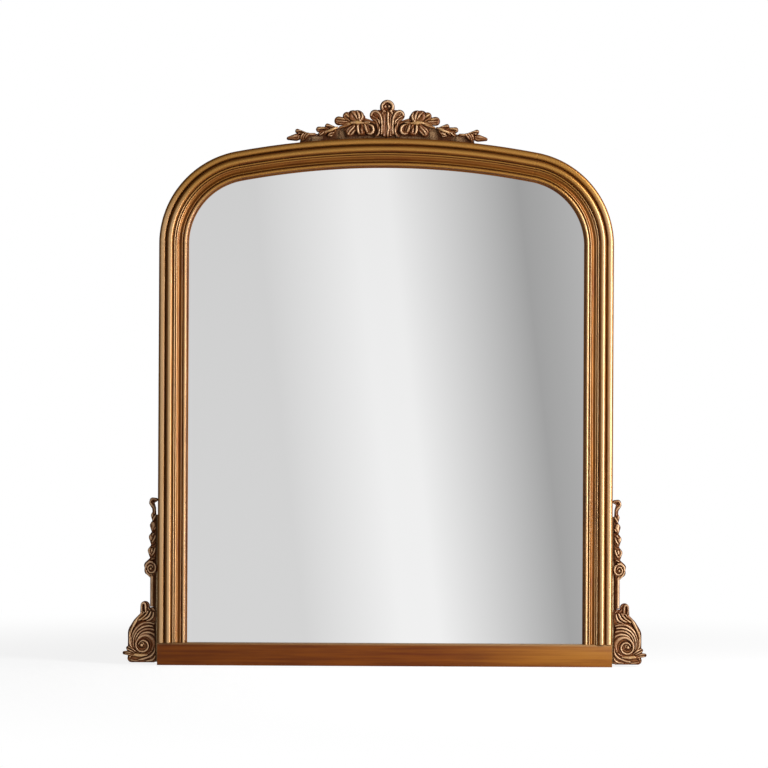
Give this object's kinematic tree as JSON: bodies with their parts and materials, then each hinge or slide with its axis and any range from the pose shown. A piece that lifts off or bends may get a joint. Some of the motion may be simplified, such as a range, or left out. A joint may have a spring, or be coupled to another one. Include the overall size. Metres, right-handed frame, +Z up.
{
  "type": "overmantel mirror",
  "caption": "Arched-top gilt wooden mirror: moulded frame on a plain base rail, carved crest, carved side scrolls and husk drops, with swinging D rings behind.",
  "frame": {"origin": "where the wall plane meets the shelf top, at the middle of the frame", "axes": "+X to the right seen from the front, +Z up, the mirror faces -Y and +Y points into the wall"},
  "size_m": [0.847, 0.037, 0.9145],
  "materials": {
    "gilt": "antique gilding over gesso, rubbed on the high edges",
    "old_gilt": "carved wood with dark toned gilding",
    "stain": "stained and waxed softwood",
    "bare_wood": "bare wood, aged",
    "silvered_glass": "silvered plate glass",
    "steel": "bright zinc, dulled",
    "felt": "pressed felt"
  },
  "bodies": {
    "root": {"left_stile": "gilt", "right_stile": "gilt", "left_corner": "gilt", "right_corner": "gilt", "crown_rail": "gilt", "base_rail": "stain", "frame_dowels": "bare_wood", "mirror_glass": "silvered_glass", "glass_blocks": "bare_wood", "back_panel": "bare_wood", "panel_screws": "steel", "left_hanger": "steel", "right_hanger": "steel", "hanger_screws": "steel", "wall_bumpers": "felt", "crest_ground": "bare_wood", "crest_palmette": "old_gilt", "left_crest_leaf": "old_gilt", "right_crest_leaf": "old_gilt", "left_crest_spray": "old_gilt", "right_crest_spray": "old_gilt", "left_crest_tip": "old_gilt", "right_crest_tip": "old_gilt", "crest_pins": "steel", "left_ground": "bare_wood", "right_ground": "bare_wood", "left_scroll": "old_gilt", "right_scroll": "old_gilt", "left_stem": "old_gilt", "right_stem": "old_gilt", "left_drop": "old_gilt", "right_drop": "old_gilt", "side_pins": "steel"},
    "left_ring": {"left_d_ring": "steel"},
    "right_ring": {"right_d_ring": "steel"}
  },
  "joints": [
    {"name": "left_ring_swing", "type": "hinge", "parent": "root", "child": "left_ring", "pos_m": [-0.352, -0.0031, 0.61], "axis": [1, 0, 0], "range_deg": [0, 180]},
    {"name": "right_ring_swing", "type": "hinge", "parent": "root", "child": "right_ring", "pos_m": [0.352, -0.0031, 0.61], "axis": [1, 0, 0], "range_deg": [0, 180]}
  ]
}
